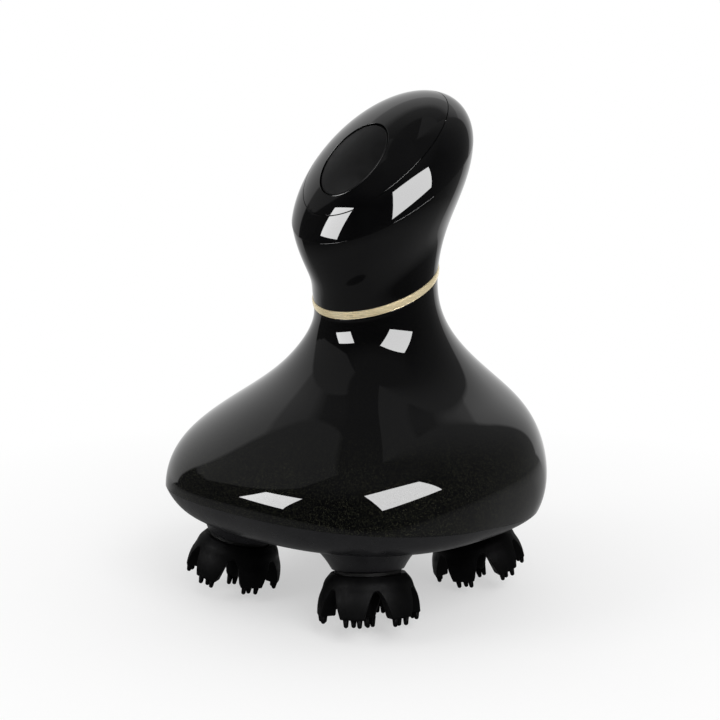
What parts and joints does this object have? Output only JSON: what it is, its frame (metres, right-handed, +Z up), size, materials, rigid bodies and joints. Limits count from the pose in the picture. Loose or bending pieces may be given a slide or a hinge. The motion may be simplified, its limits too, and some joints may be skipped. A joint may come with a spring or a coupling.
{
  "type": "electric scalp massager",
  "caption": "Cordless hand-held scalp massager: bell-shaped housing over splayed, geared rubber claws, a waisted neck with a metal ring, and a tilted oval head with a push button.",
  "frame": {"origin": "on the resting surface under the middle of the housing", "axes": "+Z up; -Y towards the front, where the head and button slope down; +X to the right as the user faces the front's far side"},
  "size_m": [0.1105, 0.107, 0.1503],
  "materials": {
    "glitter_shell": "high gloss black with fine metallic flake",
    "gloss_black": "high gloss black",
    "tray_plastic": "satin black",
    "gold_trim": "polished, pale gold anodised",
    "button_plastic": "satin dark grey",
    "claw_rubber": "matte soft silicone",
    "seal_rubber": "matte",
    "core_plastic": "satin dark grey",
    "gear_plastic": "moulded natural acetal",
    "frame_plastic": "moulded grey",
    "steel": "turned and ground steel",
    "screw_steel": "black-zinc steel",
    "brass": "turned brass",
    "board": "green solder mask",
    "switch_plastic": "moulded black",
    "cell_sleeve": "shrink sleeve over a metal can"
  },
  "bodies": {
    "housing": {"lower_housing": "tray_plastic", "upper_housing": "glitter_shell", "housing_seal": "seal_rubber", "neck_ring": "gold_trim", "handle_housing": "glitter_shell", "head_cover": "gloss_black", "top_panel": "gloss_black", "button_switch": "switch_plastic", "control_board": "board", "board_screws": "screw_steel", "drive_pin": "steel", "idler_pin": "steel", "gear_plate": "steel", "gear_plate_screws": "screw_steel", "housing_screws": "screw_steel", "motor": "steel", "motor_screws": "screw_steel", "battery_cell": "cell_sleeve", "battery_cradle": "frame_plastic", "charge_socket": "steel", "charge_board": "board", "spindle_bushes": "brass", "spindle_seals": "seal_rubber"},
    "power_button": {"button_cap": "button_plastic", "switch_plunger": "switch_plastic"},
    "port_plug": {"port_plug": "seal_rubber"},
    "motor_rotor": {"motor_shaft": "steel", "motor_pinion": "brass"},
    "idler": {"idler_gear": "gear_plastic"},
    "drive": {"drive_gear": "gear_plastic"},
    "back_right_claw_unit": {"back_right_claw": "claw_rubber", "back_right_claw_core": "core_plastic", "back_right_spindle": "steel", "back_right_claw_gear": "gear_plastic", "back_right_clip": "steel"},
    "back_left_claw_unit": {"back_left_claw": "claw_rubber", "back_left_claw_core": "core_plastic", "back_left_spindle": "steel", "back_left_claw_gear": "gear_plastic", "back_left_clip": "steel"},
    "front_left_claw_unit": {"front_left_claw": "claw_rubber", "front_left_claw_core": "core_plastic", "front_left_spindle": "steel", "front_left_claw_gear": "gear_plastic", "front_left_clip": "steel"},
    "front_right_claw_unit": {"front_right_claw": "claw_rubber", "front_right_claw_core": "core_plastic", "front_right_spindle": "steel", "front_right_claw_gear": "gear_plastic", "front_right_clip": "steel"}
  },
  "joints": [
    {"name": "drive_turn", "type": "hinge", "parent": "housing", "child": "drive", "pos_m": [0, 0, 0.031], "axis": [0, 0, 1], "continuous": true},
    {"name": "idler_turn", "type": "hinge", "parent": "housing", "child": "idler", "pos_m": [0.018, 0, 0.037], "axis": [0, 0, 1], "continuous": true},
    {"name": "motor_turn", "type": "hinge", "parent": "housing", "child": "motor_rotor", "pos_m": [0, 0, 0.05], "axis": [0, 0, 1], "continuous": true},
    {"name": "back_right_claw_turn", "type": "hinge", "parent": "housing", "child": "back_right_claw_unit", "pos_m": [0.02508, 0.02508, 0.01715], "axis": [-0.147, -0.147, 0.9781], "continuous": true},
    {"name": "back_left_claw_turn", "type": "hinge", "parent": "housing", "child": "back_left_claw_unit", "pos_m": [-0.02508, 0.02508, 0.01715], "axis": [0.147, -0.147, 0.9781], "continuous": true},
    {"name": "front_left_claw_turn", "type": "hinge", "parent": "housing", "child": "front_left_claw_unit", "pos_m": [-0.02508, -0.02508, 0.01715], "axis": [0.147, 0.147, 0.9781], "continuous": true},
    {"name": "front_right_claw_turn", "type": "hinge", "parent": "housing", "child": "front_right_claw_unit", "pos_m": [0.02508, -0.02508, 0.01715], "axis": [-0.147, 0.147, 0.9781], "continuous": true},
    {"name": "power_button_press", "type": "slide", "parent": "housing", "child": "power_button", "axis": [0, 0.749, -0.6626], "range_m": [0, 0.0008], "stiffness_N_per_m": 2500, "springref_m": -0.0006},
    {"name": "port_plug_pull", "type": "slide", "parent": "housing", "child": "port_plug", "axis": [0, 1, 0], "range_m": [0, 0.01]}
  ],
  "couplings": [
    {"joint": "idler_turn", "follows": "drive_turn", "ratio": -3},
    {"joint": "motor_turn", "follows": "drive_turn", "ratio": 12},
    {"joint": "back_right_claw_turn", "follows": "drive_turn", "ratio": -1.6},
    {"joint": "back_left_claw_turn", "follows": "drive_turn", "ratio": -1.6},
    {"joint": "front_left_claw_turn", "follows": "drive_turn", "ratio": -1.6},
    {"joint": "front_right_claw_turn", "follows": "drive_turn", "ratio": -1.6}
  ]
}
